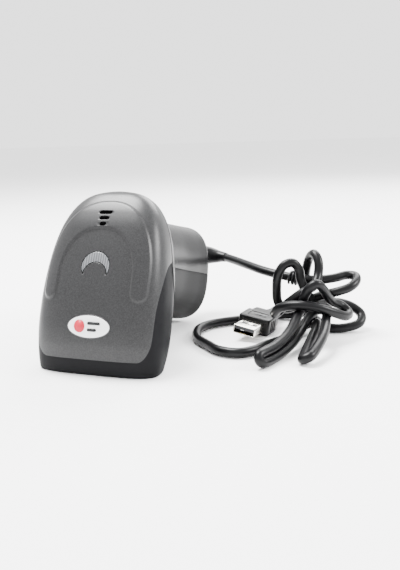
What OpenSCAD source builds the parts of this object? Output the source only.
// Handheld barcode scanner lying on its nose rim and the foot of its handle,
// with its lead, the tied hank of the lead and the USB plug beside it.
// The nose points along -Y, the handle along +Y, and the table is z = 0.

/* [Head] */
// Width of the head across the nose
head_w = 64.4; // [63:0.2:65]
// Length of the head along its own axis
head_l = 88; // [86:1:90]
// How far the head leans back from upright, in degrees
head_lean = 23; // [21:1:25]
// Wall thickness of the housing
wall = 2.2; // [1.8:0.1:2.6]
// Length of the black nose bezel at the middle of the head
bezel_l = 8; // [7:0.5:11]
// Thickness of the scan window
window_t = 2; // [1.5:0.5:2.5]

/* [Handle] */
// Length of the handle axis from inside the head to the foot
handle_l = 80; // [78:1:82]
// Width of the handle at its foot
handle_w = 42; // [40:1:43]
// Depth of the handle at its foot
handle_d = 55; // [53:1:56]
// How far the handle slopes down, in degrees
handle_drop = 16; // [15:1:17]

/* [Trigger] */
// Width of the trigger
trigger_w = 15.6; // [14:0.2:16]
// Radius of the trigger pin
pin_r = 1; // [0.8:0.1:1.2]
// Radial clearance of the trigger on its pin
pin_play = 0.06; // [0.03:0.01:0.09]

/* [Scan engine] */
// Width of the engine housing
engine_w = 32; // [30:1:34]
// Length of the engine housing along the head
engine_l = 22; // [20:1:24]
// Depth of the engine housing
engine_d = 16; // [15:1:16]

/* [Lead] */
// Diameter of the lead
cord_d = 4.9; // [4.4:0.1:4.9]
// Width of the metal shell of the plug
usb_w = 12; // [12:0.1:12.1]
// Height of the metal shell of the plug
usb_h = 4.5; // [4.5:0.1:4.6]

/* [Hidden] */
$fn = 48;

base_y = 57.3;          // from the nose lip back to the middle of the scanner
head_b = head_w / 2;
foot_y = 108;           // middle of the handle's foot behind the nose lip
foot_z = 26.2;          // and above the table
side_n = 3.6;           // squareness of the head's section above its widest line
low_n = 2.6;            // and below it
hand_n = 2.7;           // squareness of the handle's section
part_y = 9;             // depth of the widest line of the head
rim_rake = tan(head_lean);
rake_end = 38;          // where the sections have turned square to the axis
cord_r = cord_d / 2;

// ---- frames -----------------------------------------------------------------
module head_frame() {
  translate([0, -base_y, 0]) rotate([-head_lean, 0, 0]) children();
}

module handle_frame_at() {
  translate([0, foot_y - base_y, foot_z]) rotate([-90 - handle_drop, 0, 0])
    translate([0, 0, -handle_l]) children();
}

// Places beside the scanner are measured back from the nose lip,
// and turned a little about the handle's foot.
lie_turn = 0.8;
module beside() {
  translate([0, foot_y - base_y, 0]) rotate([0, 0, lie_turn]) translate([0, -foot_y, 0]) children();
}

// A plug frame: x across, y up, z out of the back of the plug.
// It rests rolled on the lead beneath it.
plug_at = [54, 78.7, 5.7];
plug_turn = 8;
plug_roll = 10;
module plug_frame() {
  beside() translate(plug_at) rotate([0, 0, -plug_turn]) rotate([0, plug_roll, 0])
    rotate([90, 0, 180]) children();
}

// ---- section and loft helpers -------------------------------------------------
function signed_pow(v, p) = sign(v) * pow(abs(v), p);

// Depth of the head's top surface, negative towards the outside, at height s.
function top_y(s) = lookup(s, [
  [0, 0], [8, -3.5], [16, -6.5], [24, -8.2], [40, -9.4], [54, -8.7],
  [68, -7], [76, -4.6], [82, -2], [86, 1], [88, 3.6], [92, 6]
]);
function bottom_y(s) = lookup(s, [
  [0, 21], [12, 25], [30, 27], [55, 26], [72, 23], [82, 18], [88, 12], [92, 10]
]);
// Half width: a superellipse that closes at the dome and narrows a little at the lip.
dome_n = 3;
dome_gap = 0.4;
function head_half(s) = (head_b - 1.2 * pow(max(0, 1 - s / 16), 2))
  * pow(1 - pow(min(max(s, 0) / (head_l + dome_gap), 1), dome_n), 1 / dome_n);
function rake(s) = rim_rake * max(0, 1 - s / rake_end);

// One point of the head's section: a = 0 at the top, 180 at the underside.
function head_point(s, a, inset) =
  let(b = max(head_half(s) - inset, 0.4),
      yt = min(top_y(s) + inset, part_y - 0.4),
      yb = max(bottom_y(s) - inset, part_y + 0.4),
      p = 2 / (cos(a) > 0 ? side_n : low_n),
      c = signed_pow(cos(a), p),
      y = c > 0 ? part_y + (yt - part_y) * c : part_y - (yb - part_y) * c)
  [b * signed_pow(sin(a), p), y, s + rake(s) * y];

// A ring of wall between angles a0 and a1; the inner line follows the outer one back.
function head_ring(s, a0, a1, n, inset) = concat(
  [for (i = [0:n]) head_point(s, a0 + (a1 - a0) * i / n, 0)],
  [for (i = [n:-1:0]) head_point(s, a0 + (a1 - a0) * i / n, inset)]
);
function head_disc(s, n, inset) = [for (i = [0:n - 1]) head_point(s, i * 360 / n, inset)];

module loft(rings) {
  n = len(rings[0]);
  m = len(rings);
  polyhedron(
    points = [for (r = rings) each r],
    faces = concat(
      [[for (i = [0:n - 1]) i]],
      [[for (i = [n - 1:-1:0]) (m - 1) * n + i]],
      [for (k = [0:m - 2]) for (i = [0:n - 1])
        let(a = k * n + i, b = k * n + (i + 1) % n)
        each [[a, a + n, b], [b, a + n, b + n]]]
    )
  );
}

// Keeps a shell built from lofts and cutters as one closed mesh.
module moulded() {
  resize([0, 0, 0]) children();
}

shell_s = [bezel_l, 9.5, 11, 12.5, 14, 16, 18, 22, 26, 31, 36, 41, 46, 51, 56, 64, 71, 77, 82, 85, 87, head_l];
arc_n = 22;

// Where the shells end at the bezel's sides: height up the head, and angle.
wing_end = 56;
top_line = [[bezel_l, 40], [11, 44], [18, 52], [26, 57], [36, 63], [46, 75], [wing_end, 90]];
low_line = [[bezel_l, 150], [18, 135], [36, 112], [wing_end, 93]];
function top_edge(s) = lookup(s, concat(top_line, [[92, 96]]));
function bottom_edge(s) = lookup(s, concat(low_line, [[92, 96]]));
// The bezel fills the space between them, up to a thin seam.
seam = 0.25;
seam_a = 1;
bezel_line = concat(
  [for (p = top_line) [p[1] + seam_a, p[0] - seam]],
  [for (i = [len(low_line) - 1:-1:0]) [low_line[i][1] - seam_a, low_line[i][0] - seam]]
);
function bezel_end(a) = lookup(a > 180 ? 360 - a : a, bezel_line);

// Closing rings: the cavity ends before the outside does.
function cavity(s) = s > 85.5 ? 40 : wall;

module head_band(a0, a1, stations) {
  loft([for (s = stations) head_ring(s, a0(s), a1(s), arc_n, cavity(s))]);
}

module head_solid(inset, s_end) {
  loft([for (s = concat([0, 6], [for (v = shell_s) if (v < s_end - 1) v], [s_end]))
    head_disc(s, 48, inset)]);
}

// ---- handle helpers -----------------------------------------------------------
function hand_half(z) = lookup(z, [[0, 15], [20, 15.4], [50, 16.4], [80, handle_w / 2]]);
function hand_top(z) = lookup(z, [[0, 20], [20, 23.5], [50, 25.5], [80, handle_d / 2]]);
function hand_low(z) = lookup(z, [[0, 19], [20, 20.5], [50, 23], [80, handle_d / 2]]);
foot_round = 3;
function hand_shrink(z) = z < handle_l - foot_round ? 0
  : foot_round - sqrt(pow(foot_round, 2) - pow(z - handle_l + foot_round, 2)) * 0.9;
function hand_point(z, a, inset) =
  let(d = inset + hand_shrink(z), depth = cos(a) > 0 ? hand_top(z) : hand_low(z))
  [max(hand_half(z) - d, 0.4) * signed_pow(sin(a), 2 / hand_n),
   -max(depth - d, 0.4) * signed_pow(cos(a), 2 / hand_n), z];
function hand_ring(z, a0, a1, n, inset) = concat(
  [for (i = [0:n]) hand_point(z, a0 + (a1 - a0) * i / n, 0)],
  [for (i = [n:-1:0]) hand_point(z, a0 + (a1 - a0) * i / n, inset)]
);
hand_z = [0, 14, 28, 42, 56, 68, handle_l - foot_round, handle_l - 1, handle_l];

module handle_half(a0, a1) {
  loft([for (z = hand_z) hand_ring(z, a0, a1, arc_n, z > handle_l - 2.5 ? 60 : wall)]);
}
module handle_core(inset) {
  loft([for (z = [0, 20, 50, handle_l - 4]) [for (i = [0:39]) hand_point(z, i * 9, inset)]]);
}

// ---- housing ------------------------------------------------------------------
slot_s = [76, 73, 70];
slot_half = [3.3, 2.5, 1.7];
lens_s = 50.4;

// A crescent with its horns towards the nose, drawn in the top surface.
module crescent(grow) {
  difference() {
    circle(6.5 + grow);
    translate([0, -4.7]) circle(5.6 - grow);
  }
}
module on_top(s, depth) {
  head_frame() translate([0, depth, s]) rotate([90, 0, 0]) children();
}

module top_shell() {
  color([0.42, 0.42, 0.43]) moulded() difference() {
    head_frame() head_band(function(s) -top_edge(s), function(s) top_edge(s), shell_s);
    for (i = [0:2]) on_top(slot_s[i], 4) linear_extrude(20) slot_outline(slot_half[i]);
    on_top(lens_s, 0) linear_extrude(20) crescent(0.15);
  }
}
module slot_outline(half) {
  hull() {
    translate([half - 1, 0]) circle(1, $fn = 24);
    translate([1 - half, 0]) circle(1, $fn = 24);
  }
}

module bottom_shell() {
  color([0.45, 0.45, 0.46]) moulded() difference() {
    head_frame() head_band(function(s) bottom_edge(s), function(s) 360 - bottom_edge(s), shell_s);
    handle_frame_at() handle_core(wall);
    handle_frame_at() translate([-gap_w / 2, 8, gap_z0 - 2]) cube([gap_w, 40, gap_z1 - gap_z0]);
  }
}

// A closed band: at each angle its section goes up the outside and down the inside.
module nose_bezel() {
  last = len(bezel_line) - 1;
  side_a = concat(
    [0, 8, 16, 24, 32],
    [for (i = [0:last - 1], k = [0, 0.5]) bezel_line[i][0] + (bezel_line[i + 1][0] - bezel_line[i][0]) * k],
    [bezel_line[last][0], 157, 164, 172, 180]
  );
  round_a = concat(side_a, [for (i = [len(side_a) - 2:-1:1]) 360 - side_a[i]]);
  steps = 6;
  color([0.13, 0.13, 0.14]) moulded() head_frame() band([for (a = round_a) concat(
    [for (i = [0:steps]) head_point(bezel_end(a) * i / steps, a, 0)],
    [for (i = [steps:-1:0]) head_point(bezel_end(a) * i / steps, a, wall)]
  )]);
}

// A loft that closes on itself.
module band(rings) {
  n = len(rings[0]);
  m = len(rings);
  polyhedron(
    points = [for (r = rings) each r],
    faces = [for (k = [0:m - 1]) for (i = [0:n - 1])
      let(a = k * n + i, b = k * n + (i + 1) % n, c = (k + 1) % m * n + i, d = (k + 1) % m * n + (i + 1) % n)
      each [[a, c, b], [b, c, d]]]
  );
}

module handle_back() {
  color([0.5, 0.5, 0.51]) moulded() difference() {
    handle_frame_at() handle_half(-90, 90);
    head_frame() head_solid(0, 84);
    boot_hole();
  }
}
module handle_front() {
  color([0.47, 0.47, 0.48]) moulded() difference() {
    handle_frame_at() handle_half(90, 270);
    head_frame() head_solid(0, 84);
    handle_frame_at() translate([-gap_w / 2, 8, gap_z0]) cube([gap_w, 40, gap_z1 - gap_z0]);
    translate([-50, -100, -20]) cube([100, 400, 20]);
  }
}
module boot_hole() {
  handle_frame_at() translate([0, boot_y, handle_l - 8]) cylinder(h = 20, r = boot_r + 0.2);
}

module scan_window() {
  color([0.35, 0.05, 0.06, 0.8]) moulded() head_frame()
    loft([for (s = [3.5, 3.5 + window_t]) head_disc(s, 48, wall + seam)]);
}

module indicator_lens() {
  color([0.85, 0.86, 0.88]) on_top(lens_s, -6) linear_extrude(3.4) crescent(0);
}

badge_s = 22.9;
module badge() {
  color("white") head_frame() translate([0, top_y(badge_s) + 0.35, badge_s])
    rotate([90 + 12, 0, 0]) linear_extrude(0.9) badge_outline();
}
module badge_outline() {
  // An ellipse of half axes 10.2 and 4.7, drawn by its equation.
  polygon([for (a = [0:7.5:352.5]) [10.2 * cos(a), 4.7 * sin(a)]]);
}

// ---- trigger ------------------------------------------------------------------
pivot = [0, 12, 18];     // handle frame
gap_w = trigger_w + 1;
gap_z0 = 12.6;
gap_z1 = 58.4;
pad_z = 32;              // where the trigger meets the switch
spring_z = 46;
tip_z = 56;

module trigger() {
  color([0.2, 0.2, 0.21]) handle_frame_at() difference() {
    union() {
      translate([-trigger_w / 2, 14, 15]) cube([trigger_w, 13, tip_z - 15]);
      translate([-trigger_w / 2, pivot[1], pivot[2]]) rotate([0, 90, 0])
        cylinder(h = trigger_w, r = 3);
    }
    translate([-20, 45, 36]) rotate([0, 90, 0]) cylinder(h = 40, r = 22);
    translate([-6, 10, 24]) cube([12, 9, 7]);
    translate([-6, 10, 33]) cube([12, 9, 21]);
    translate([-20, pivot[1], pivot[2]]) rotate([0, 90, 0])
      cylinder(h = 40, r = pin_r + pin_play);
  }
  color([0.2, 0.2, 0.21]) handle_frame_at()
    translate([-1.5, 6.5, pad_z - 1]) cube([3, 8, 2]);
}

module trigger_pin() {
  color("silver") handle_frame_at() translate([-10.6, pivot[1], pivot[2]]) rotate([0, 90, 0])
    cylinder(h = 21.2, r = pin_r);
}

spring_turns = 6;
spring_y0 = -1.4;
spring_y1 = 18.6;
wire_r = 0.35;
module trigger_spring() {
  coil_r = 2.6;
  steps = spring_turns * 12;
  pitch_y = (spring_y1 - spring_y0 - 2 * wire_r) / steps;
  color("silver") handle_frame_at() translate([0, spring_y0 + wire_r, spring_z])
    loft([for (i = [0:steps]) [for (k = [0:5])
      let(a = i * 30, r = coil_r + wire_r * cos(k * 60))
      [r * cos(a), i * pitch_y + wire_r * sin(k * 60), r * sin(a)]]]);
}

module switch_body() {
  color([0.1, 0.1, 0.1]) handle_frame_at() difference() {
    translate([-3, -1.4, pad_z - 5]) cube([6, 6, 10]);
    translate([0, 0.4, pad_z]) rotate([-90, 0, 0]) cylinder(h = 10, r = 1.05);
  }
}
module switch_plunger() {
  color([0.7, 0.15, 0.1]) handle_frame_at() translate([0, 2.2, pad_z]) rotate([-90, 0, 0])
    cylinder(h = 4, r = 1);
}

// ---- inner frames and boards --------------------------------------------------
frame_w = 24;
module handle_frame() {
  color([0.25, 0.25, 0.27]) handle_frame_at() difference() {
    union() {
      translate([-frame_w / 2, -3, 10]) cube([frame_w, 1.6, 58]);
      for (x = [-10.6, 8.4]) translate([x, -1.4, 15]) cube([2.2, 15.6, 6]);
      translate([0, -1.4, spring_z]) rotate([-90, 0, 0]) cylinder(h = 6, r = 1.8);
    }
    translate([-20, pivot[1], pivot[2]]) rotate([0, 90, 0]) cylinder(h = 40, r = pin_r);
    board_screw_holes();
  }
}
board_screw_z = [24, 60];
module board_screw_holes() {
  for (x = [-9.5, 9.5], z = board_screw_z)
    translate([x, -10, z]) rotate([-90, 0, 0]) cylinder(h = 20, r = 0.9);
}
module main_board() {
  color([0.05, 0.35, 0.15]) handle_frame_at() difference() {
    translate([-frame_w / 2, -4.6, 10]) cube([frame_w, 1.6, 62]);
    board_screw_holes();
  }
}
module board_screws() {
  color("silver") handle_frame_at() for (x = [-9.5, 9.5], z = board_screw_z) {
    translate([x, -4.6, z]) rotate([-90, 0, 0]) cylinder(h = 3, r = 0.9);
    translate([x, -5.8, z]) rotate([-90, 0, 0]) cylinder(h = 1.2, r = 1.7);
  }
}
module board_chips() {
  color([0.08, 0.08, 0.08]) handle_frame_at() {
    translate([-5, -6.2, 30]) cube([10, 1.6, 10]);
    translate([-3, -6, 14]) cube([6, 1.4, 5]);
    translate([-9, -5.8, 45]) cube([5, 1.2, 4]);
    translate([3, -5.8, 45]) cube([6, 1.2, 4]);
  }
}

module engine_bracket() {
  color([0.25, 0.25, 0.27]) head_frame() {
    translate([-14, engine_d, 20]) cube([28, 1.6, 44]);
    for (x = [-9, 9], s = [50, 61])
      translate([x, 3.2, s]) rotate([-90, 0, 0]) cylinder(h = engine_d - 3.2, r = 2);
  }
}
module head_board() {
  color([0.05, 0.35, 0.15]) head_frame() translate([-12, 2, 46]) cube([24, 1.2, 32]);
}
module status_led() {
  color([0.9, 0.9, 0.85]) head_frame() translate([0, 2, 51]) rotate([90, 0, 0])
    cylinder(h = 5, r = 2);
}
module beeper() {
  color([0.1, 0.1, 0.1]) head_frame() translate([0, 2, 68]) rotate([90, 0, 0]) difference() {
    cylinder(h = 4.2, r = 6);
    translate([0, 0, 3.2]) cylinder(h = 2, r = 1);
  }
}

// ---- scan engine ---------------------------------------------------------------
eng_s = 21;
mirror_x = -3;
mirror_s = eng_s + 15;
module engine_housing() {
  color([0.55, 0.56, 0.58]) head_frame() difference() {
    translate([-engine_w / 2, 1, eng_s]) cube([engine_w, engine_d - 1, engine_l]);
    translate([1.2 - engine_w / 2, -1, eng_s - 1]) cube([engine_w - 2.4, engine_d - 0.2, engine_l - 0.2]);
    translate([mirror_x, 0, mirror_s]) rotate([-90, 0, 0]) cylinder(h = 20, r = 0.8);
  }
}
module mirror_pin() {
  color("silver") head_frame() translate([mirror_x, 3, mirror_s]) rotate([-90, 0, 0])
    cylinder(h = engine_d - 3, r = 0.8);
}
module scan_mirror() {
  color([0.8, 0.85, 0.9]) head_frame() translate([mirror_x, 0, mirror_s]) difference() {
    union() {
      translate([0, 4, 0]) rotate([-90, 0, 0]) cylinder(h = 9, r = 1.8);
      rotate([0, 45, 0]) translate([-5, 4, -2.6]) cube([10, 9, 1]);
      rotate([0, 45, 0]) translate([-1, 6, 1]) cube([2, 4, 2.2]);
    }
    translate([0, 0, 0]) rotate([-90, 0, 0]) cylinder(h = 20, r = 0.86);
  }
}
module drive_coil() {
  color([0.7, 0.4, 0.15]) head_frame() translate([mirror_x, 8, mirror_s]) rotate([0, 45, 0])
    translate([0, 0, 3.6]) difference() {
      cylinder(h = 2, r = 2.4);
      translate([0, 0, -1]) cylinder(h = 5, r = 1.2);
    }
}
module laser_barrel() {
  color([0.75, 0.6, 0.3]) head_frame() translate([5, 8, eng_s + 4]) rotate([0, 90, 0]) difference() {
    cylinder(h = 9, r = 3);
    translate([0, 0, -1]) cylinder(h = 5, r = 1.5);
  }
}
module collecting_mirror() {
  color([0.8, 0.85, 0.9]) head_frame() difference() {
    translate([4, 3, eng_s + 12]) cube([10, 11, 4]);
    translate([9, 8.5, eng_s - 2]) sphere(r = 16);
  }
}
module photodiode() {
  color([0.15, 0.1, 0.1]) head_frame() translate([1.2 - engine_w / 2, 8, eng_s + 5])
    rotate([0, 90, 0]) cylinder(h = 3, r = 2.4);
}

// ---- cable end -----------------------------------------------------------------
boot_y = -10.6;
boot_r = 6.3;
module cable_socket() {
  color([0.1, 0.1, 0.11]) handle_frame_at() difference() {
    translate([-7, -16, 58]) cube([14, 11.4, 14]);
    translate([-5.2, -14.6, 61]) cube([10.4, 8, 20]);
  }
}
module cable_plug() {
  color([0.75, 0.78, 0.8]) handle_frame_at()
    translate([-5, -14.4, 61]) cube([10, 7.6, handle_l - 4 - 61]);
}

// Points of the boot's middle line, with its radius at each.
boot_path = [[0, 107.1, 37.5, 6], [0, 110.9, 36.4, 6.2], [0.6, 114.4, 35.4, 6.3], [3.4, 118.8, 35.2, 6.2],
  [8, 121.8, 35, 6], [13, 123.2, 34.7, 5.7], [17, 123.5, 34.4, 5.2], [21, 122.9, 34.1, 4.3],
  [24, 122, 34.2, 3.4], [27, 120.6, 34.4, 2.7]];
lead_path = [[27, 120.6, 34.4], [33, 116.4, 34.2], [39, 111.4, 33.8], [46, 106, 33],
  [54, 101, 32], [62, 97, 30.8], [70, 94.5, 29.4]];
loop_path = [[67, 56, 2.5], [63.5, 47, 2.5], [57, 40.5, 2.5], [47, 42, 2.5], [38, 50, 2.5],
  [30, 58.5, 2.5], [26, 68, 2.5], [24.5, 77.5, 2.5], [27.5, 86.5, 2.5], [34, 93.5, 2.5], [41, 99, 2.5],
  [48, 105, 2.5], [55, 111, 2.5], [63, 115, 2.5]];

function unit(v) = v / norm(v);
function heading(p, i) = unit(p[min(i + 1, len(p) - 1)] - p[max(i - 1, 0)]);
// A tube swept along points; its side vector stays level.
module tube(p, radii, sides) {
  loft([for (i = [0:len(p) - 1])
    let(t = heading(p, i), s = unit(cross(t, [0, 0, 1])), u = cross(s, t))
    [for (k = [0:sides - 1]) p[i] + radii[i] * (s * cos(k * 360 / sides) + u * sin(k * 360 / sides))]]);
}
function xyz(p) = [for (q = p) [q[0], q[1], q[2]]];

module cable_boot() {
  color([0.12, 0.12, 0.13]) beside() tube(xyz(boot_path), [for (q = boot_path) q[3]], 20);
}
module cord_lead() {
  color([0.1, 0.1, 0.1]) beside() tube(lead_path, [for (q = lead_path) cord_r], 10);
}
module cord_loop() {
  color([0.1, 0.1, 0.1]) beside() tube(loop_path, [for (q = loop_path) cord_r], 10);
}

// The outer shape of the tied, splayed hank.
module cord_bundle() {
  color([0.1, 0.1, 0.1]) beside() hull() {
    translate([73, 30, 0]) cylinder(h = 5, r = 5, $fn = 32);
    translate([88, 37, 0]) cylinder(h = 5, r = 5, $fn = 32);
    translate([101, 112, 0]) cylinder(h = 8, r = 7, $fn = 32);
    translate([73, 108, 0]) cylinder(h = 16, r = 5, $fn = 32);
    translate([76, 84, 38]) cylinder(h = 4, r = 6, $fn = 32);
    translate([98, 104, 24]) cylinder(h = 4, r = 6, $fn = 32);
  }
  color([0.1, 0.1, 0.1]) beside() hull() {
    translate([62.6, 110, 0]) cylinder(h = 11, r = 3.6, $fn = 32);
    translate([74, 110, 0]) cylinder(h = 14, r = 5, $fn = 32);
  }
}
module cord_tie() {
  color([0.05, 0.05, 0.05]) beside() translate([73, 94.2, 29]) rotate([0, 90, -10])
    rotate_extrude() translate([3.4, 0]) circle(0.8, $fn = 16);
}

// ---- USB plug ------------------------------------------------------------------
mould_l = 20;
metal_l = 12;
module usb_overmold() {
  color([0.12, 0.12, 0.13]) plug_frame() difference() {
    translate([-8.2, -4.3, 0]) cube([16.4, 8.6, mould_l]);
    translate([-usb_w / 2, -usb_h / 2, -1]) cube([usb_w, usb_h, 5]);
  }
}
module usb_shell() {
  color("silver") plug_frame() difference() {
    translate([-usb_w / 2, -usb_h / 2, -metal_l]) cube([usb_w, usb_h, metal_l + 4]);
    translate([0.3 - usb_w / 2, 0.3 - usb_h / 2, -metal_l - 1])
      cube([usb_w - 0.6, usb_h - 0.6, metal_l + 4]);
  }
}
module usb_tongue() {
  color([0.9, 0.9, 0.9]) plug_frame()
    translate([0.3 - usb_w / 2, 0, -metal_l + 0.6]) cube([usb_w - 0.6, usb_h / 2 - 0.3, metal_l + 2.4]);
}
module usb_contacts() {
  color("gold") plug_frame() for (x = [-3.5, -1, 1, 3.5])
    translate([x - 0.5, -0.15, -metal_l + 1.2]) cube([1, 0.15, 8]);
}
module usb_relief() {
  color([0.12, 0.12, 0.13]) plug_frame() translate([0, 0, mould_l]) rotate_extrude()
    polygon([[0, 0], [3.6, 0], [3.4, 2], [2.5, 7], [0, 7]]);
}

top_shell();
bottom_shell();
nose_bezel();
handle_back();
handle_front();
scan_window();
indicator_lens();
badge();
trigger();
trigger_pin();
trigger_spring();
switch_body();
switch_plunger();
handle_frame();
engine_bracket();
engine_housing();
laser_barrel();
scan_mirror();
mirror_pin();
drive_coil();
collecting_mirror();
photodiode();
head_board();
status_led();
beeper();
main_board();
board_chips();
board_screws();
cable_socket();
cable_plug();
cable_boot();
cord_lead();
cord_bundle();
cord_loop();
cord_tie();
usb_overmold();
usb_shell();
usb_tongue();
usb_contacts();
usb_relief();
